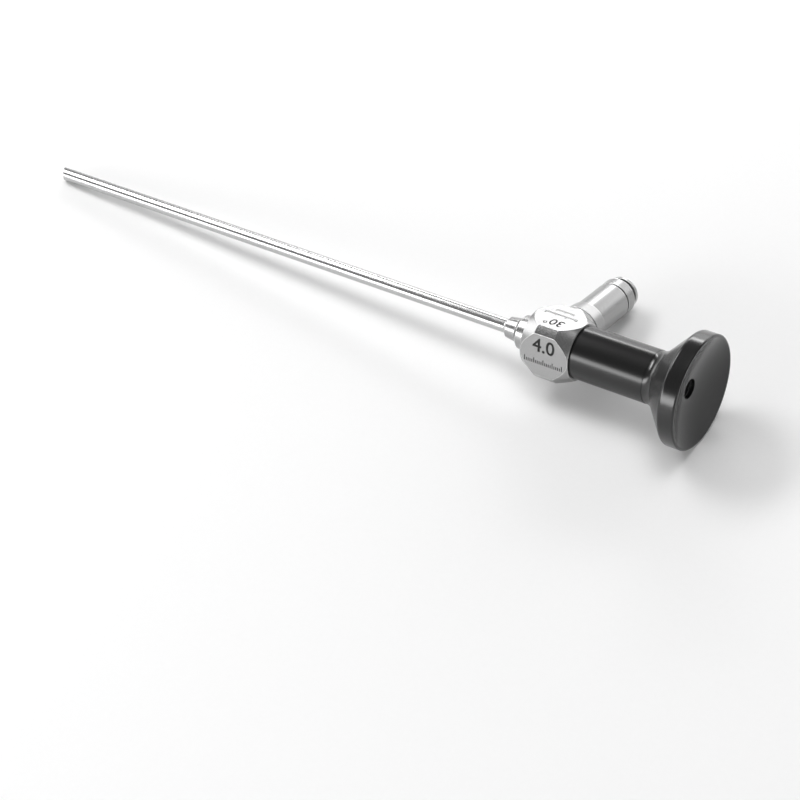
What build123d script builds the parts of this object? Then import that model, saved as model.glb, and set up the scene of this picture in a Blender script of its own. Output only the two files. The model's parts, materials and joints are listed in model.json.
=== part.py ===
from build123d import *
import os
from math import cos, radians, sin, sqrt, tan

# A 30 degree rigid endoscope with a 4 mm shaft, in millimetres.
# It is modelled along its optical axis: +X towards the eyepiece, +Y along the light post,
# with x = 0 at the rear face of the hub. The last section lays it down as it comes to rest.

# Shaft
shaft_diameter = 4.0
shaft_wall = 0.2
working_length = 167.0          # from the tip to the front of the collar
view_angle = 30.0               # between the optical axis and the direction of view
seat_height = 0.25              # the tube's end is thicker by this all round, inside the collar
seat_taper = 0.5                # length of the cone that leads up to it
inner_tube_diameter = 2.8
inner_tube_wall = 0.13

# Collar between shaft and hub
collar_lip = 0.15               # flat ring of the front face around the bore
collar_edge = 0.45
collar_length = 3.75
collar_front_radius = 2.95
collar_rear_radius = 3.45
collar_flange_length = 4.9      # shoulder included
collar_shoulder_length = 1.3
collar_shoulder_radius = 4.8
collar_flange_radius = 5.3
collar_spigot_radius = 4.5

# Hub: a turned blank with four milled flats
hub_length = 15.1
hub_radius = 10.35
hub_across_flats = 16.4
hub_front_radius = 8.1
hub_front_cone = 4.5
hub_rear_radius = 8.25
hub_rear_cone = 4.4
hub_chamber_radius = 6.0
chamber_room = 0.3              # between the end of the shaft and the bend of the fibres
hub_edge = 0.15

# Light post, measured along its own axis from the optical axis
post_to_hub_rear = 7.75
post_base_radius = 6.4
post_foot_radius = 6.75
post_foot_height = 0.8
post_base_height = 1.7
post_spigot_radius = 4.2
post_spigot_depth = 2.1
post_stub_radius = 4.0
post_stub_length = 5.5
post_groove = 0.4
post_groove_depth = 0.55
post_taper_length = 4.6
post_taper_end_radius = 5.8
post_barrel_radius = 5.35
post_barrel_length = 13.6
post_ring_groove = 0.6
post_ring_length = 3.15
post_plug_radius = 3.6
post_plug_length = 4.5
post_neck_radius = 4.0
post_neck_length = 1.7
post_lip_radius = 4.7
post_lip_length = 1.4
post_edge = 0.25

# Light guide
fibre_bundle_radius = 1.77
fibre_bend = 4.5
ferrule_radius = 2.4
light_window_thickness = 0.9

# Ocular housing and sleeve
housing_radius = 6.4
housing_spigot_length = 3.0
housing_bore_radius = 5.2
housing_neck_radius = 5.8
sleeve_length = 22.0
sleeve_radius = 7.5

# Eyecup
eyecup_diameter = 32.0
eyecup_length = 14.0
eyecup_neck_radius = 7.4
flare_start = 2.05
flare_length = 7.5
flare_foot_round = 4.0
flare_shoulder_round = 1.0
rim_chamfer = 0.35
rim_land = 0.7
dish_depth = 3.8
sight_hole_radius = 2.8
sight_hole_length = 1.0

# Glass at the eyepiece
window_radius = 3.5
window_thickness = 1.2
window_lip_radius = 2.9
window_lip = 0.4

# Objective and relay optics
distal_window_thickness = 0.45
prism_length = 2.6
objective_spacer_length = 1.2
objective_length = 2.4
objective_sag = 0.18
relay_rods = 6
relay_spacer_length = 3.4
rod_sag = 0.12
spacer_wall = 0.22
inner_tube_overhang = 0.6       # how far the inner tube reaches into the ocular housing

# Ocular optics
ocular_tube_start = 2.5
ocular_tube_length = 21.5
ocular_tube_bore_radius = 4.2
ocular_tube_lip_radius = 3.5
ocular_tube_lip = 1.0
field_stop_thickness = 0.5
field_stop_radius = 1.9
ocular_front_length = 3.2
ocular_front_sag = 0.9
ocular_spacer_length = 2.4
ocular_rear_length = 3.6
ocular_rear_sag = 0.7
ocular_ring_wall = 0.6
lock_ring_length = 1.6
lock_ring_wall = 1.0
lock_ring_inset = 1.6           # from the rear end of the ocular tube
lock_slot_width = 0.8
lock_slot_depth = 0.7

# Clearances
tube_clearance = 0.03           # radial, between glued or brazed tubes
slide_clearance = 0.05          # radial, between the ocular tube and its housing

# Stations along the optical axis
hub_front_x = -hub_length
collar_rear_x = hub_front_x
collar_step_x = collar_rear_x - collar_flange_length
collar_front_x = collar_step_x - collar_length
tip_x = collar_front_x - working_length
post_x = -post_to_hub_rear
fibre_bend_x = post_x - fibre_bend
chamber_front_x = fibre_bend_x - chamber_room
sleeve_end_x = sleeve_length
face_x = sleeve_end_x + eyecup_length
housing_end_x = face_x - dish_depth - sight_hole_length

# Radii that follow from the sizes above
shaft_radius = shaft_diameter / 2
shaft_bore = shaft_radius - shaft_wall
seat_radius = shaft_radius + seat_height
collar_bore = seat_radius + tube_clearance
inner_tube_radius = inner_tube_diameter / 2
inner_tube_bore = inner_tube_radius - inner_tube_wall
optic_radius = inner_tube_bore - tube_clearance
rim_radius = eyecup_diameter / 2
flat_distance = hub_across_flats / 2
bevel = tan(radians(view_angle))

# Tangent length of the flare's rounds, as a share of their radius
flare_slope = (rim_radius - eyecup_neck_radius) / flare_length
flare_turn = (sqrt(1 + flare_slope ** 2) - 1) / flare_slope
shoulder_x = sleeve_end_x + flare_start + flare_length + flare_shoulder_round * flare_turn

def surface_drop(radius, sag, at_radius):
    """How far a lens surface has fallen back from its middle at a smaller radius."""
    if not sag:
        return 0.0
    curve = (radius ** 2 + sag ** 2) / (2 * sag)
    return curve - sqrt(curve ** 2 - at_radius ** 2)


# Stations of the optics: the objective from the tip, the ocular from the rear end of its tube
prism_end_x = tip_x + shaft_diameter * bevel + distal_window_thickness + prism_length
objective_x = prism_end_x + objective_spacer_length
objective_end_x = objective_x + objective_length
lens_radius = ocular_tube_bore_radius - tube_clearance
stop_x = ocular_tube_start + ocular_tube_lip
stop_spacer_x = stop_x + field_stop_thickness
ocular_tube_end_x = ocular_tube_start + ocular_tube_length
lock_ring_x = ocular_tube_end_x - lock_ring_inset - lock_ring_length
ocular_end_x = lock_ring_x + surface_drop(lens_radius, ocular_rear_sag, lens_radius - lock_ring_wall)
ocular_rear_x = ocular_end_x - ocular_rear_length
ocular_spacer_x = ocular_rear_x - ocular_spacer_length
ocular_front_x = ocular_spacer_x - ocular_front_length

# Stations along the light post
post_seat_y = flat_distance
post_stub_y = post_seat_y + post_base_height
post_taper_y = post_stub_y + post_groove
post_barrel_y = post_taper_y + post_taper_length
post_barrel_end_y = post_barrel_y + post_barrel_length
post_ring_y = post_barrel_end_y + post_ring_groove
post_neck_y = post_ring_y + post_ring_length
post_lip_y = post_neck_y + post_neck_length
post_end_y = post_lip_y + post_lip_length
light_window_y = post_end_y - light_window_thickness - post_edge


def turned(points):
    """A turned piece about the optical axis, from (x, radius) points."""
    return revolve(make_face(Polyline(*points, close=True)), Axis.X)


def tube(start_x, end_x, outer, bore):
    """A plain tube along the optical axis."""
    return turned([(start_x, bore), (end_x, bore), (end_x, outer), (start_x, outer)])


def on_post(points):
    """A turned piece about the light post's axis, from (y, radius) points."""
    outline = [(post_x + radius, y) for y, radius in points]
    axis = Axis((post_x, 0, 0), (0, 1, 0))
    return revolve(make_face(Polyline(*outline, close=True)), axis)


def bevel_plane(setback=0.0):
    """The plane of the tip's bevel, set back along the axis and facing forwards."""
    long_side = Vector(tip_x + setback, shaft_radius, 0)
    normal = Vector(-cos(radians(view_angle)), -sin(radians(view_angle)), 0)
    return Plane(origin=long_side, z_dir=normal)


def bevelled(piece, setback=0.0):
    """Grind a piece of the shaft to the tip's bevel, set back along the axis."""
    return split(piece, bisect_by=bevel_plane(setback), keep=Keep.BOTTOM)


def glass(front_x, rear_x, radius, front_sag=0.0, rear_sag=0.0):
    """A round lens: a positive sag bulges outwards, zero is flat."""
    front_edge = (front_x + front_sag, radius)
    rear_edge = (rear_x - rear_sag, radius)
    if rear_sag:
        rear = TangentArc((rear_x, 0), rear_edge, tangent=(0, 1))
    else:
        rear = Line((rear_x, 0), rear_edge)
    if front_sag:
        front = TangentArc((front_x, 0), front_edge, tangent=(0, 1))
    else:
        front = Line((front_x, 0), front_edge)
    outline = [Line((front_x, 0), (rear_x, 0)), rear, Line(rear_edge, front_edge), front]
    return revolve(make_face(outline), Axis.X)


# Shaft

def outer_tube():
    return bevelled(turned([
        (tip_x, shaft_bore),
        (tip_x, shaft_radius),
        (collar_front_x - seat_taper, shaft_radius),
        (collar_front_x, seat_radius),
        (chamber_front_x, seat_radius),
        (chamber_front_x, shaft_bore),
    ]))


def inner_tube():
    end_x = inner_tube_overhang
    return bevelled(tube(tip_x, end_x, inner_tube_radius, inner_tube_bore))


def light_fibres():
    """One bundle: round in the post, bent in the hub, and a ring around the inner tube."""
    in_shaft = Pos(tip_x, 0, 0) * Rot(0, 90, 0) * Cylinder(
        fibre_bundle_radius, fibre_bend_x - tip_x, align=(Align.CENTER, Align.CENTER, Align.MIN))
    in_post = Pos(post_x, fibre_bend, 0) * Rot(-90, 0, 0) * Cylinder(
        fibre_bundle_radius, light_window_y - fibre_bend, align=(Align.CENTER, Align.CENTER, Align.MIN))
    section = Plane(origin=(post_x, fibre_bend, 0), z_dir=(0, 1, 0)) * Circle(fibre_bundle_radius)
    bend_axis = Axis((fibre_bend_x, fibre_bend, 0), (0, 0, -1))
    bend = revolve(section, bend_axis, 90)
    hollow = tube(tip_x, 0, inner_tube_radius + tube_clearance, 0)
    return bevelled(in_shaft + bend + in_post - hollow)


# Collar and hub

def shaft_collar():
    return turned([
        (collar_front_x, collar_bore),
        (collar_front_x, collar_bore + collar_lip),
        (collar_front_x + collar_edge, collar_front_radius),
        (collar_step_x, collar_rear_radius),
        (collar_step_x + collar_shoulder_length, collar_shoulder_radius),
        (collar_rear_x, collar_flange_radius),
        (collar_rear_x, collar_spigot_radius),
        (chamber_front_x, collar_spigot_radius),
        (chamber_front_x, collar_bore),
    ])


def hub_body():
    blank = turned([
        (hub_front_x, collar_spigot_radius + tube_clearance),
        (hub_front_x, hub_front_radius - hub_edge),
        (hub_front_x + hub_edge, hub_front_radius),
        (hub_front_x + hub_front_cone, hub_radius),
        (-hub_rear_cone, hub_radius),
        (-hub_edge, hub_rear_radius),
        (0, hub_rear_radius - hub_edge),
        (0, hub_chamber_radius),
        (chamber_front_x, hub_chamber_radius),
        (chamber_front_x, collar_spigot_radius + tube_clearance),
    ])
    milled = blank & Box(4 * hub_length, hub_across_flats, hub_across_flats)
    post_bore = Pos(post_x, 0, 0) * Rot(-90, 0, 0) * Cylinder(
        post_spigot_radius + tube_clearance, hub_radius, align=(Align.CENTER, Align.CENTER, Align.MIN))
    return milled - post_bore


# Light post

def post_base():
    bore = ferrule_radius + tube_clearance
    return on_post([
        (post_seat_y - post_spigot_depth, bore),
        (post_seat_y - post_spigot_depth, post_spigot_radius),
        (post_seat_y, post_spigot_radius),
        (post_seat_y, post_foot_radius),
        (post_seat_y + post_foot_height, post_base_radius),
        (post_stub_y, post_base_radius),
        (post_stub_y, post_base_radius - post_groove_depth),
        (post_taper_y, post_base_radius - post_groove_depth),
        (post_taper_y, post_stub_radius),
        (post_taper_y + post_stub_length, post_stub_radius),
        (post_taper_y + post_stub_length, bore),
    ])


def post_barrel():
    stub_end_y = post_taper_y + post_stub_length
    plug_y = post_barrel_end_y - post_plug_length
    return on_post([
        (post_taper_y, post_stub_radius + tube_clearance),
        (post_taper_y, post_base_radius),
        (post_barrel_y, post_taper_end_radius),
        (post_barrel_y, post_barrel_radius),
        (post_barrel_end_y, post_barrel_radius),
        (post_barrel_end_y, post_plug_radius + tube_clearance),
        (plug_y, post_plug_radius + tube_clearance),
        (plug_y, ferrule_radius + tube_clearance),
        (stub_end_y, ferrule_radius + tube_clearance),
        (stub_end_y, post_stub_radius + tube_clearance),
    ])


def post_end_outline():
    """The visible outline of the end connector, as (y, radius) points."""
    return [
        (post_barrel_end_y, post_barrel_radius - post_groove_depth),
        (post_ring_y, post_barrel_radius - post_groove_depth),
        (post_ring_y, post_barrel_radius),
        (post_neck_y, post_barrel_radius),
        (post_neck_y, post_neck_radius),
        (post_lip_y, post_neck_radius),
        (post_lip_y + post_edge, post_lip_radius),
        (post_end_y - post_edge, post_lip_radius),
        (post_end_y, post_lip_radius - post_edge),
    ]


def post_end():
    bore = ferrule_radius + tube_clearance
    plug_y = post_barrel_end_y - post_plug_length
    hidden = [
        (post_end_y, bore),
        (plug_y, bore),
        (plug_y, post_plug_radius),
        (post_barrel_end_y, post_plug_radius),
    ]
    return on_post(post_end_outline() + hidden)


def fibre_ferrule():
    start_y = post_seat_y - post_spigot_depth
    bore = fibre_bundle_radius + tube_clearance
    return on_post([
        (start_y, bore),
        (start_y, ferrule_radius),
        (light_window_y, ferrule_radius),
        (light_window_y, bore),
    ])


def light_entry_window():
    end_y = light_window_y + light_window_thickness
    return on_post([
        (light_window_y, 0),
        (light_window_y, ferrule_radius),
        (end_y, ferrule_radius),
        (end_y, 0),
    ])


# Ocular housing, sleeve and eyecup

def ocular_housing():
    window_x = housing_end_x - window_thickness
    return turned([
        (-housing_spigot_length, inner_tube_radius + tube_clearance),
        (-housing_spigot_length, hub_chamber_radius - tube_clearance),
        (0, hub_chamber_radius - tube_clearance),
        (0, housing_radius),
        (sleeve_end_x, housing_radius),
        (sleeve_end_x, housing_neck_radius),
        (housing_end_x, housing_neck_radius),
        (housing_end_x, window_radius + tube_clearance),
        (window_x, window_radius + tube_clearance),
        (window_x, window_lip_radius),
        (window_x - window_lip, window_lip_radius),
        (window_x - window_lip, housing_bore_radius),
        (inner_tube_overhang, housing_bore_radius),
        (inner_tube_overhang, inner_tube_radius + tube_clearance),
    ])


def eyepiece_window():
    return glass(housing_end_x - window_thickness, housing_end_x, window_radius)


def ocular_sleeve():
    return tube(0, sleeve_end_x, sleeve_radius, housing_radius + tube_clearance)


def eyecup():
    """Trumpet-shaped cup with a bevelled rim, a dished face and a sight hole."""
    dish_edge = rim_radius - rim_land
    dish_curve = (dish_edge ** 2 + dish_depth ** 2) / (2 * dish_depth)
    dish_centre_x = face_x - dish_depth + dish_curve

    def dish(radius):
        return (dish_centre_x - sqrt(dish_curve ** 2 - radius ** 2), radius)

    foot_round = min(flare_foot_round, 0.95 * flare_start / flare_turn)
    outside = FilletPolyline(
        (sleeve_end_x, eyecup_neck_radius),
        (sleeve_end_x + flare_start, eyecup_neck_radius),
        (sleeve_end_x + flare_start + flare_length, rim_radius),
        (face_x - rim_chamfer, rim_radius),
        radius=[foot_round, flare_shoulder_round],
    )
    rim = Polyline(
        (face_x - rim_chamfer, rim_radius),
        (face_x, rim_radius - rim_chamfer),
        dish(dish_edge),
    )
    halfway = (dish_edge + sight_hole_radius) / 2
    bowl = ThreePointArc(dish(dish_edge), dish(halfway), dish(sight_hole_radius))
    bore = housing_neck_radius + tube_clearance
    inside = Polyline(
        dish(sight_hole_radius),
        (housing_end_x, sight_hole_radius),
        (housing_end_x, bore),
        (sleeve_end_x, bore),
        (sleeve_end_x, eyecup_neck_radius),
    )
    return revolve(make_face(outside.edges() + rim.edges() + [bowl] + inside.edges()), Axis.X)


# Objective and relay optics, all on the optical axis inside the inner tube

def distal_window():
    rod = tube(tip_x, tip_x + shaft_diameter * bevel + distal_window_thickness, optic_radius, 0)
    return split(bevelled(rod), bisect_by=bevel_plane(distal_window_thickness), keep=Keep.TOP)


def deflection_prism():
    rod = tube(tip_x, prism_end_x, optic_radius, 0)
    return bevelled(rod, distal_window_thickness)


def objective_spacer():
    return tube(prism_end_x, objective_x, optic_radius, optic_radius - spacer_wall)


def objective_lens():
    return glass(objective_x, objective_end_x, optic_radius, 0, objective_sag)


def relay_train():
    """Rod lenses and the spacer tubes between them, from the objective to the inner tube's end."""
    pitch = (inner_tube_overhang - objective_end_x) / relay_rods
    spacer_bore = optic_radius - spacer_wall
    rod_drop = surface_drop(optic_radius, rod_sag, spacer_bore)
    pieces = {}
    for number in range(1, relay_rods + 1):
        glass_end_x = objective_end_x + (number - 1) * pitch
        glass_sag = objective_sag if number == 1 else rod_sag
        spacer_x = glass_end_x - surface_drop(optic_radius, glass_sag, spacer_bore)
        rod_x = glass_end_x + relay_spacer_length
        rod_end_x = glass_end_x + pitch
        pieces[f"relay_spacer_{number}"] = tube(spacer_x, rod_x + rod_drop, optic_radius, spacer_bore)
        pieces[f"rod_lens_{number}"] = glass(rod_x, rod_end_x, optic_radius, rod_sag, rod_sag)
    return pieces


# Ocular optics


def ocular_tube():
    return turned([
        (ocular_tube_start, ocular_tube_lip_radius),
        (stop_x, ocular_tube_lip_radius),
        (stop_x, ocular_tube_bore_radius),
        (ocular_tube_end_x, ocular_tube_bore_radius),
        (ocular_tube_end_x, housing_bore_radius - slide_clearance),
        (ocular_tube_start, housing_bore_radius - slide_clearance),
    ])


def field_stop():
    return tube(stop_x, stop_spacer_x, lens_radius, field_stop_radius)


def stop_spacer():
    return tube(stop_spacer_x, ocular_front_x, lens_radius, lens_radius - ocular_ring_wall)


def ocular_front_lens():
    return glass(ocular_front_x, ocular_spacer_x, lens_radius, 0, ocular_front_sag)


def ocular_spacer():
    bore = lens_radius - ocular_ring_wall
    start_x = ocular_spacer_x - surface_drop(lens_radius, ocular_front_sag, bore)
    end_x = ocular_rear_x + surface_drop(lens_radius, ocular_rear_sag, bore)
    return tube(start_x, end_x, lens_radius, bore)


def ocular_rear_lens():
    return glass(ocular_rear_x, ocular_end_x, lens_radius, ocular_rear_sag, ocular_rear_sag)


def ocular_lock_ring():
    end_x = lock_ring_x + lock_ring_length
    ring = tube(lock_ring_x, end_x, lens_radius, lens_radius - lock_ring_wall)
    slot = Pos(end_x, 0, 0) * Box(2 * lock_slot_depth, 3 * lens_radius, lock_slot_width)
    return ring - slot


# Resting place: the scope lies on the eyecup's shoulder, the shaft's tip and the end of the light post

def lowest_of_rim(up):
    """Lowest point of the eyecup's rounded shoulder, for a given upward direction."""
    across = Vector(0, up.Y, up.Z).normalized()
    round_centre = Vector(shoulder_x, 0, 0) - across * (rim_radius - flare_shoulder_round)
    return round_centre - up * flare_shoulder_round


def lowest_of_tip(up):
    """Lowest point of the bevelled end of the shaft."""
    side = Vector(0, up.Y - up.X * bevel, up.Z).normalized() * -shaft_radius
    return Vector(tip_x + (shaft_radius - side.Y) * bevel, side.Y, side.Z)


def lowest_of_post(up):
    """Lowest point of the end connector's edges."""
    across = Vector(up.X, 0, up.Z).normalized()
    points = [Vector(post_x, y, 0) - across * radius for y, radius in post_end_outline()]
    return min(points, key=lambda point: point.dot(up))


def resting_direction():
    """The direction that points up when the three contact points stand on one level plane."""
    up = Vector(0, 0, 1)
    for _ in range(40):
        rim, tip, post = lowest_of_rim(up), lowest_of_tip(up), lowest_of_post(up)
        up = (post - tip).cross(rim - tip).normalized()
        if up.Z < 0:
            up = up * -1
    return up


def lay_down(pieces):
    """Turn the pieces to rest, with the origin under the middle of the whole scope."""
    up = resting_direction()
    along = (Vector(1, 0, 0) - up * up.X).normalized()
    turn = Plane(origin=(0, 0, 0), x_dir=along, z_dir=up).location.inverse()
    turned_pieces = {name: turn * piece for name, piece in pieces.items()}
    box = Compound(children=[turn * piece for piece in pieces.values()]).bounding_box()
    shift = Pos(-box.center().X, -box.center().Y, -box.min.Z)
    return {name: shift * piece for name, piece in turned_pieces.items()}


def build():
    pieces = {
        "outer_tube": outer_tube(),
        "inner_tube": inner_tube(),
        "light_fibres": light_fibres(),
        "distal_window": distal_window(),
        "deflection_prism": deflection_prism(),
        "objective_spacer": objective_spacer(),
        "objective_lens": objective_lens(),
        "shaft_collar": shaft_collar(),
        "hub_body": hub_body(),
        "post_base": post_base(),
        "post_barrel": post_barrel(),
        "post_end": post_end(),
        "fibre_ferrule": fibre_ferrule(),
        "light_entry_window": light_entry_window(),
        "ocular_housing": ocular_housing(),
        "eyepiece_window": eyepiece_window(),
        "ocular_sleeve": ocular_sleeve(),
        "eyecup": eyecup(),
        "ocular_tube": ocular_tube(),
        "field_stop": field_stop(),
        "stop_spacer": stop_spacer(),
        "ocular_front_lens": ocular_front_lens(),
        "ocular_spacer": ocular_spacer(),
        "ocular_rear_lens": ocular_rear_lens(),
        "ocular_lock_ring": ocular_lock_ring(),
    }
    pieces.update(relay_train())
    return lay_down(pieces)


os.makedirs("parts", exist_ok=True)
for name, piece in build().items():
    export_step(piece, f"parts/{name}.step")
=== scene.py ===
"""The rigid endoscope lying on a pale table: materials, marks, lamps, floor and camera."""
import json
import math

import bmesh
import bpy
from mathutils import Matrix, Vector


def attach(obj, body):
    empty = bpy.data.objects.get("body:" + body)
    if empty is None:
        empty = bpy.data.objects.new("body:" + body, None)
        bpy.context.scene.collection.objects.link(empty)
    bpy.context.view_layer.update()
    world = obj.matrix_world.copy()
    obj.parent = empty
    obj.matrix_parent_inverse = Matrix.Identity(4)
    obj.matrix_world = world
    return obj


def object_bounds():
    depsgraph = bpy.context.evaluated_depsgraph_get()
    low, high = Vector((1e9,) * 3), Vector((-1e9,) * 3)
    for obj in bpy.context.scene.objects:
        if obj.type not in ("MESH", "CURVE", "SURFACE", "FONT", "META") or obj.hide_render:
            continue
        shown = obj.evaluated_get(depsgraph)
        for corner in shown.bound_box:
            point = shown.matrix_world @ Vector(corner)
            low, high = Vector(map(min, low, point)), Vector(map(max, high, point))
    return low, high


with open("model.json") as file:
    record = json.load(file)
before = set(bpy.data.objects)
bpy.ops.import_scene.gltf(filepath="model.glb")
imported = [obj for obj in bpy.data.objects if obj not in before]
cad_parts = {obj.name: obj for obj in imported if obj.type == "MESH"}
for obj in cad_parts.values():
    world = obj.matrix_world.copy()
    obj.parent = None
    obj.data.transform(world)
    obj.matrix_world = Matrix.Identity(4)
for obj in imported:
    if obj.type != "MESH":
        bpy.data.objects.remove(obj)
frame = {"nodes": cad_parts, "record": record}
CAD_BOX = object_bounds()
MM = 0.001

# The scope's own axes, from its mounts: X to the eyecup, Y along the light post, Z out of the top facet.
MOUNTS = {mount["name"]: mount for mount in frame["record"]["mounts"]}
AXIS_X = Vector(MOUNTS["eyecup_rim"]["axis"]).normalized()
AXIS_Y = Vector(MOUNTS["light_post_lip"]["axis"]).normalized()
AXIS_Z = AXIS_X.cross(AXIS_Y).normalized()
TURN = Matrix((AXIS_X, AXIS_Y, AXIS_Z)).transposed()


def furthest(node, axis):
    """How far a CAD node reaches along an axis."""
    return max(vertex.co.dot(axis) for vertex in frame["nodes"][node].data.vertices)


# The origin of the scope's axes is where the optical axis leaves the hub's rear face.
RIM = Vector(MOUNTS["eyecup_rim"]["pos_m"])
ORIGIN = RIM + AXIS_X * (furthest("hub_body", AXIS_X) - RIM.dot(AXIS_X))


def spot(x, y, z):
    """A place in the row frame, from millimetres along the scope's own axes."""
    return ORIGIN + TURN @ Vector((x, y, z)) * MM


# Materials

NOISE_LOW, NOISE_HIGH = 0.3, 0.7                # most of a noise lies between these
MIX_FIRST, MIX_SECOND, MIX_RESULT = 6, 7, 2     # the colour sockets of a Mix node
EDGE_TURN, FACE_TURN = 0.96, 0.998              # cosine of a softened normal's turn, on an edge and off it
EDGE_HIGHLIGHT_SPAN = 1.3                                 # width of the painted highlight along an edge, in radii of its rounding
RELIEF_STRENGTH = 0.6
CLOUDS = 90.0                                   # scale of the slow change of tone over a piece
HAZE = 700.0                                    # scale of the haze on glass
FIBRE_CELLS = 9000.0                            # scale of the fibre ends
FIBRE_CORE, FIBRE_RIM = (0.62, 0.60, 0.52), (0.20, 0.18, 0.13)


class Graph:
    """A material's node tree with a Principled shader."""

    def __init__(self, name):
        self.material = bpy.data.materials.new(name)
        self.material.use_nodes = True
        self.tree = self.material.node_tree
        self.shader = self.tree.nodes["Principled BSDF"]

    def node(self, kind, **values):
        made = self.tree.nodes.new(kind)
        for key, value in values.items():
            setattr(made, key, value)
        return made

    def link(self, source, target):
        self.tree.links.new(source, target)

    def place(self, stretch=(1, 1, 1)):
        """Coordinates in metres along the scope's own axes, stretched."""
        where = self.node("ShaderNodeTexCoord")
        turned = self.node("ShaderNodeMapping", vector_type="POINT")
        turned.inputs["Rotation"].default_value = TURN.inverted().to_euler()
        scaled = self.node("ShaderNodeMapping", vector_type="POINT")
        scaled.inputs["Scale"].default_value = stretch
        self.link(where.outputs["Object"], turned.inputs["Vector"])
        self.link(turned.outputs["Vector"], scaled.inputs["Vector"])
        return scaled.outputs["Vector"]

    def noise(self, vector, scale, detail=2.0, rough=0.5):
        made = self.node("ShaderNodeTexNoise")
        made.inputs["Scale"].default_value = scale
        made.inputs["Detail"].default_value = detail
        made.inputs["Roughness"].default_value = rough
        self.link(vector, made.inputs["Vector"])
        return made.outputs["Fac"]

    def spread(self, source, low, high, start=NOISE_LOW, end=NOISE_HIGH):
        """A value from low to high as the source goes from start to end."""
        made = self.node("ShaderNodeMapRange")
        made.inputs["From Min"].default_value = start
        made.inputs["From Max"].default_value = end
        made.inputs["To Min"].default_value = low
        made.inputs["To Max"].default_value = high
        self.link(source, made.inputs["Value"])
        return made.outputs["Result"]

    def blend(self, source, first, second):
        """A colour from first, itself a colour or a socket, to second as the source goes from 0 to 1."""
        made = self.node("ShaderNodeMix", data_type="RGBA")
        if isinstance(first, tuple):
            made.inputs[MIX_FIRST].default_value = (*first, 1)
        else:
            self.link(first, made.inputs[MIX_FIRST])
        made.inputs[MIX_SECOND].default_value = (*second, 1)
        self.link(source, made.inputs["Factor"])
        return made.outputs[MIX_RESULT]

    def softened(self, radius, samples):
        """The surface normal with its edges rounded over a radius."""
        made = self.node("ShaderNodeBevel", samples=samples)
        made.inputs["Radius"].default_value = radius
        return made.outputs["Normal"]

    def edges(self, radius):
        """One along the edges, nought on the faces, from how far a softened normal turns."""
        face = self.node("ShaderNodeNewGeometry")
        turn = self.node("ShaderNodeVectorMath", operation="DOT_PRODUCT")
        self.link(self.softened(radius, samples=8), turn.inputs[0])
        self.link(face.outputs["Normal"], turn.inputs[1])
        return self.spread(turn.outputs["Value"], 1.0, 0.0, EDGE_TURN, FACE_TURN)

    def bump(self, height, distance, edge):
        """Fine relief, on edges rounded over a radius where one is given."""
        made = self.node("ShaderNodeBump")
        made.inputs["Distance"].default_value = distance
        made.inputs["Strength"].default_value = RELIEF_STRENGTH
        self.link(height, made.inputs["Height"])
        if edge:
            self.link(self.softened(edge, samples=6), made.inputs["Normal"])
        self.link(made.outputs["Normal"], self.shader.inputs["Normal"])

    def set(self, **values):
        """Uniform values on the shader's own sockets."""
        for key, value in values.items():
            self.shader.inputs[key.replace("_", " ")].default_value = value


def grey(tone):
    return (tone, tone, tone)


def surface(name, tone, rough, grain, streak, relief, edge, edge_highlight=None, **uniform):
    """A solid finish: grain is the scale of its blast, polish or moulding, and streak how it is stretched.

    Tone and roughness are ranges. Relief and edge are millimetres. Edges are rounded over that radius, and
    lightened to the edge highlight tone where one is given: a painted highlight along the edges.
    """
    made = Graph(name)
    fine = made.noise(made.place(streak), grain, detail=4.0, rough=0.6)
    wide = made.noise(made.place(), CLOUDS)
    made.set(**uniform)
    colour = made.blend(wide, grey(tone[0]), grey(tone[1]))
    # Painted highlight: the colour along the edges is lightened towards a pale tone.
    if edge_highlight:
        colour = made.blend(made.edges(EDGE_HIGHLIGHT_SPAN * edge * MM), colour, grey(edge_highlight))
    made.link(colour, made.shader.inputs["Base Color"])
    made.link(made.spread(fine, *rough), made.shader.inputs["Roughness"])
    made.bump(fine, relief * MM, edge * MM)
    return made.material


def glass(name, tint, ior):
    """Clear glass with a little haze and dust in its polish."""
    made = Graph(name)
    made.set(Transmission_Weight=1.0, IOR=ior)
    haze = made.noise(made.place(), HAZE)
    made.link(made.blend(haze, tint, (1, 1, 1)), made.shader.inputs["Base Color"])
    made.link(made.spread(haze, 0.0, 0.03), made.shader.inputs["Roughness"])
    return made.material


def fibres(name):
    """Packed fibre ends: each cell darkens and roughens from its middle to its rim."""
    made = Graph(name)
    cells = made.node("ShaderNodeTexVoronoi", feature="F1")
    cells.inputs["Scale"].default_value = FIBRE_CELLS
    made.link(made.place(), cells.inputs["Vector"])
    away = cells.outputs["Distance"]
    tone = made.spread(away, 0.0, 1.0, start=0.1, end=0.8)
    made.link(made.blend(tone, FIBRE_CORE, FIBRE_RIM), made.shader.inputs["Base Color"])
    made.link(made.spread(away, 0.15, 0.4, start=0.0, end=0.8), made.shader.inputs["Roughness"])
    return made.material


ALONG = (0.15, 1, 1)            # streaks along the scope's axis
AROUND = (1, 0.2, 0.2)          # streaks around it, as turning leaves them
EVEN = (1, 1, 1)

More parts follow.
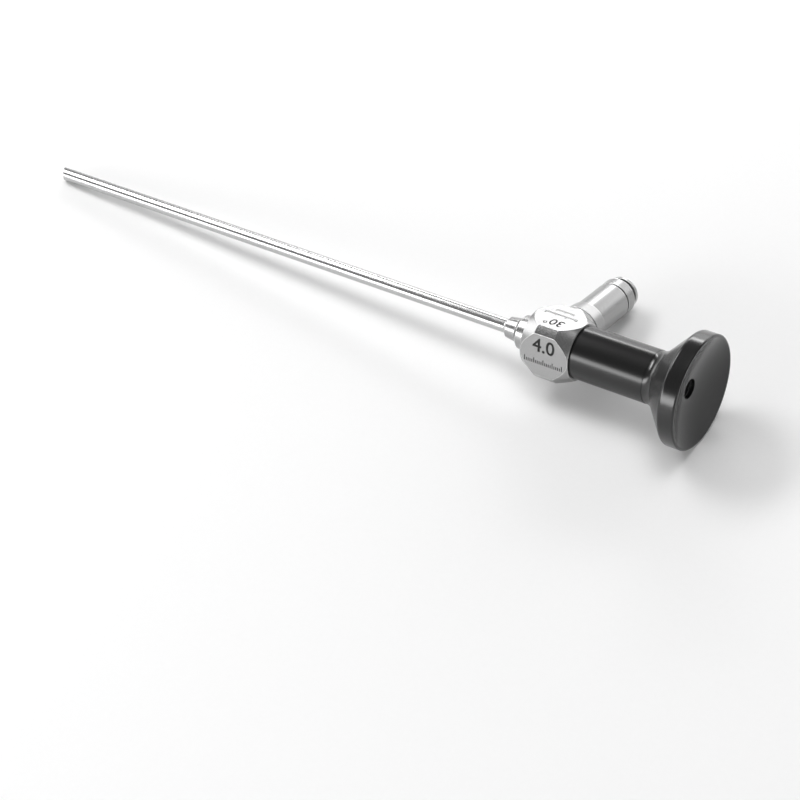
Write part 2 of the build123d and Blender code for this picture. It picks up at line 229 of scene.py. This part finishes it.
FINISHES = {
    "shaft_steel": surface("shaft_steel", tone=(0.44, 0.52), rough=(0.16, 0.24), grain=2600.0, streak=ALONG,
                           relief=0.004, edge=0.05, Metallic=1.0),
    # The satin steel's edges carry a painted highlight in their colour.
    "satin_steel": surface("satin_steel", tone=(0.33, 0.37), rough=(0.22, 0.29), grain=8000.0, streak=EVEN,
                           relief=0.006, edge=0.16, edge_highlight=0.92, Metallic=1.0),
    "inner_steel": surface("inner_steel", tone=(0.45, 0.55), rough=(0.30, 0.42), grain=4000.0,
                           streak=AROUND, relief=0.01, edge=0.08, Metallic=1.0),
    "black_sleeve": surface("black_sleeve", tone=(0.003, 0.006), rough=(0.19, 0.25), grain=12000.0,
                            streak=AROUND, relief=0.0008, edge=0.15, IOR=1.5),
    "black_eyecup": surface("black_eyecup", tone=(0.004, 0.007), rough=(0.15, 0.21), grain=11000.0,
                            streak=EVEN, relief=0.0012, edge=0.12, IOR=1.55,
                            Sheen_Weight=0.12, Sheen_Roughness=0.35),
    "black_brass": surface("black_brass", tone=(0.012, 0.03), rough=(0.40, 0.55), grain=4000.0,
                           streak=AROUND, relief=0.01, edge=0.08, Metallic=0.4),
    "optical_glass": glass("optical_glass", tint=(0.93, 0.97, 0.96), ior=1.52),
    "fibre_glass": fibres("fibre_glass"),
}

for part in frame["record"]["subparts"]:
    mesh = frame["nodes"][part["node"]].data
    mesh.materials.clear()
    mesh.materials.append(FINISHES[part["material_slot"]])

# Marks: the view angle, the shaft's diameter and plain graduations, filled dark. Sizes are millimetres.

MARK_THICKNESS = 0.012
MARK_GAP = 0.004                # between a facet and the mark on it
WELD = 1e-7                     # metres within which a mark's corners are joined
FIGURE_SHARE = 0.7              # height of a figure in the font's size
LONG_EVERY = 5                  # graduations from one long one to the next
SHORT_SHARE = 0.6               # height of the others in the height of a long one
STROKE_SHARE = 0.45             # width of a graduation in the step to the next
INK = surface("mark_ink", tone=(0.02, 0.035), rough=(0.55, 0.7), grain=9000.0, streak=EVEN,
              relief=0.004, edge=0.0, Specular_IOR_Level=0.1)


def on_facet(mesh, name, centre, facet):
    """Put a flat mesh, in millimetres, on a facet given by its directions across and upwards."""
    across, upwards = (TURN @ Vector(direction) for direction in facet)
    outwards = across.cross(upwards)
    middle = spot(*centre) + outwards * (MARK_THICKNESS / 2 + MARK_GAP) * MM
    turn = Matrix((across, upwards, outwards)).transposed()
    for vertex in mesh.vertices:
        vertex.co = middle + turn @ vertex.co * MM
    work = bmesh.new()
    work.from_mesh(mesh)
    bmesh.ops.remove_doubles(work, verts=work.verts, dist=WELD)
    bmesh.ops.recalc_face_normals(work, faces=work.faces)
    work.to_mesh(mesh)
    work.free()
    mesh.materials.clear()
    mesh.materials.append(INK)
    piece = bpy.data.objects.new(name, mesh)
    bpy.context.scene.collection.objects.link(piece)
    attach(piece, "root")


def lettering(name, text, height, weight, centre, facet):
    """Plain figures, their height and added stroke in millimetres, centred on a place."""
    curve = bpy.data.curves.new(name, "FONT")
    curve.body = text
    curve.size = height / FIGURE_SHARE
    curve.extrude = MARK_THICKNESS / 2
    curve.bevel_depth = weight
    curve.bevel_resolution = 0
    curve.resolution_u = 4
    curve.align_x = curve.align_y = "CENTER"
    draft = bpy.data.objects.new(name + "_draft", curve)
    bpy.context.scene.collection.objects.link(draft)
    bpy.context.view_layer.update()
    shaped = draft.evaluated_get(bpy.context.evaluated_depsgraph_get())
    mesh = bpy.data.meshes.new_from_object(shaped)
    bpy.data.objects.remove(draft)
    # The added stroke thickens the figures too, so they are pressed flat again.
    thick = max(vertex.co.z for vertex in mesh.vertices)
    for vertex in mesh.vertices:
        vertex.co.z *= MARK_THICKNESS / 2 / thick
    on_facet(mesh, name, centre, facet)


def graduations(name, count, length, height, centre, facet):
    """A row of strokes on one base line, long ones at even steps and short ones between them."""
    work = bmesh.new()
    pitch = length / (count - 1)
    for number in range(count):
        tall = height if number % LONG_EVERY == 0 else SHORT_SHARE * height
        place = Matrix.Translation((number * pitch - length / 2, (tall - height) / 2, 0))
        size = Matrix.Diagonal((STROKE_SHARE * pitch, tall, MARK_THICKNESS, 1))
        bmesh.ops.create_cube(work, size=1.0, matrix=place @ size)
    mesh = bpy.data.meshes.new(name)
    work.to_mesh(mesh)
    work.free()
    on_facet(mesh, name, centre, facet)


# The top facet's marks have their feet towards the light post, and the front facet's towards the table.
TOP = ((-1, 0, 0), (0, -1, 0))
FRONT = ((1, 0, 0), (0, 0, 1))
FLAT = (furthest("hub_body", AXIS_Z) - ORIGIN.dot(AXIS_Z)) / MM     # from the axis to each facet

lettering("mark_view_angle", "30°", 3.0, 0.04, (-7.6, -2.9, FLAT), TOP)
graduations("mark_row_top_long", 16, 9.6, 1.3, (-7.8, 0.9, FLAT), TOP)
graduations("mark_row_top_short", 11, 5.2, 1.1, (-7.8, 3.1, FLAT), TOP)
lettering("mark_diameter", "4.0", 4.0, 0.08, (-7.5, -FLAT, 2.8), FRONT)
graduations("mark_row_front", 21, 11.6, 1.6, (-7.5, -FLAT, -2.0), FRONT)

# Floor

FLOOR_SIZE = 8.0
FLOOR_MIDDLE = (0.05, 0.0)
FLOOR_GAP = 0.02 * MM           # below the scope, so that nothing lies exactly in the floor
PAPER_GRAIN = 900.0

bpy.ops.mesh.primitive_plane_add(size=FLOOR_SIZE, location=(*FLOOR_MIDDLE, CAD_BOX[0].z - FLOOR_GAP))
floor = bpy.context.object
floor.name = "floor"
paper = Graph("paper")
paper.set(IOR=1.4)
grain = paper.noise(paper.place(), PAPER_GRAIN, detail=3.0)
paper.link(paper.blend(grain, grey(0.90), grey(0.92)), paper.shader.inputs["Base Color"])
paper.link(paper.spread(grain, 0.45, 0.55), paper.shader.inputs["Roughness"])
floor.data.materials.append(paper.material)

# Lamps: soft boxes where the scope's reflections show them

LAMP_FADE = 0.7                 # share of a lamp's half width over which it darkens to its edge


def lamp(name, direction, distance, width, height, level):
    """An elliptical soft box in a direction of the scope's axes, facing the hub.

    Level is its radiance in the middle. Distance, width and height are metres.
    """
    light = bpy.data.lights.new(name, "AREA")
    light.shape = "ELLIPSE"
    light.size, light.size_y = width, height
    light.energy = level * math.pi * width * height * math.pi / 4
    light.use_nodes = True
    tree = light.node_tree
    face = tree.nodes.new("ShaderNodeNewGeometry")
    centred = tree.nodes.new("ShaderNodeVectorMath")
    centred.operation = "MULTIPLY_ADD"
    centred.inputs[1].default_value = (2, 2, 0)
    centred.inputs[2].default_value = (-1, -1, 0)
    fall = tree.nodes.new("ShaderNodeTexGradient")
    fall.gradient_type = "SPHERICAL"
    fade = tree.nodes.new("ShaderNodeMapRange")
    fade.interpolation_type = "SMOOTHSTEP"
    fade.inputs["From Max"].default_value = LAMP_FADE
    tree.links.new(face.outputs["Parametric"], centred.inputs[0])
    tree.links.new(centred.outputs["Vector"], fall.inputs["Vector"])
    tree.links.new(fall.outputs["Fac"], fade.inputs["Value"])
    tree.links.new(fade.outputs["Result"], tree.nodes["Emission"].inputs["Strength"])
    made = bpy.data.objects.new(name, light)
    bpy.context.scene.collection.objects.link(made)
    way = (TURN @ Vector(direction)).normalized()
    made.location = ORIGIN + way * distance
    made.rotation_mode = "QUATERNION"
    made.rotation_quaternion = way.to_track_quat("Z", "Y")


lamp("back_strip", (-0.42, 0.665, 0.615), distance=1.5, width=1.2, height=0.26, level=11.0)
lamp("back_wide", (0.02, 0.82, 0.42), distance=1.8, width=3.2, height=1.4, level=2.0)
lamp("main", (-0.64, -0.10, 0.76), distance=1.8, width=1.7, height=0.55, level=13.0)
lamp("overhead", (0.08, -0.14, 0.985), distance=2.0, width=1.3, height=1.6, level=4.5)
lamp("low_strip", (-0.50, -0.865, 0.03), distance=1.6, width=2.4, height=0.7, level=7.0)
lamp("left", (-0.985, 0.05, 0.22), distance=1.8, width=1.5, height=0.8, level=3.0)

# Room: a plain sky, pale near the horizon and darker overhead

ROOM_PALE, ROOM_DARK = 0.85, 0.26
PALE_BELOW, DARK_ABOVE = 0.05, 0.45             # heights on a sphere of radius 1

world = bpy.data.worlds.new("room")
bpy.context.scene.world = world
world.use_nodes = True
sky = world.node_tree
where = sky.nodes.new("ShaderNodeTexCoord")
split = sky.nodes.new("ShaderNodeSeparateXYZ")
rise = sky.nodes.new("ShaderNodeMapRange")
rise.interpolation_type = "SMOOTHSTEP"
rise.inputs["From Min"].default_value = PALE_BELOW
rise.inputs["From Max"].default_value = DARK_ABOVE
rise.inputs["To Min"].default_value = ROOM_PALE
rise.inputs["To Max"].default_value = ROOM_DARK
sky.links.new(where.outputs["Generated"], split.inputs["Vector"])
sky.links.new(split.outputs["Z"], rise.inputs["Value"])
sky.links.new(rise.outputs["Result"], sky.nodes["Background"].inputs["Strength"])
sky.nodes["Background"].inputs["Color"].default_value = (1, 1, 1, 1)

# Camera: its place and its aim are millimetres along the scope's own axes

CAMERA_PLACE = (226.5, -405.06, 276.21)
CAMERA_AIM = (-47.1, -18.6, -22.8)
LENS, SENSOR_WIDTH = 90.0, 36.0
NEAREST, FURTHEST = 0.05, 20.0                  # metres that the camera sees

camera = bpy.data.objects.new("camera", bpy.data.cameras.new("camera"))
bpy.context.scene.collection.objects.link(camera)
bpy.context.scene.camera = camera
camera.data.lens = LENS
camera.data.sensor_width = SENSOR_WIDTH
camera.data.clip_start, camera.data.clip_end = NEAREST, FURTHEST
camera.location = spot(*CAMERA_PLACE)
look = (spot(*CAMERA_AIM) - camera.location).normalized()
right = look.cross(AXIS_Z).normalized()
camera.rotation_mode = "QUATERNION"
camera.rotation_quaternion = Matrix((right, right.cross(look), -look)).transposed().to_quaternion()

bpy.context.scene.view_settings.view_transform = "Standard"
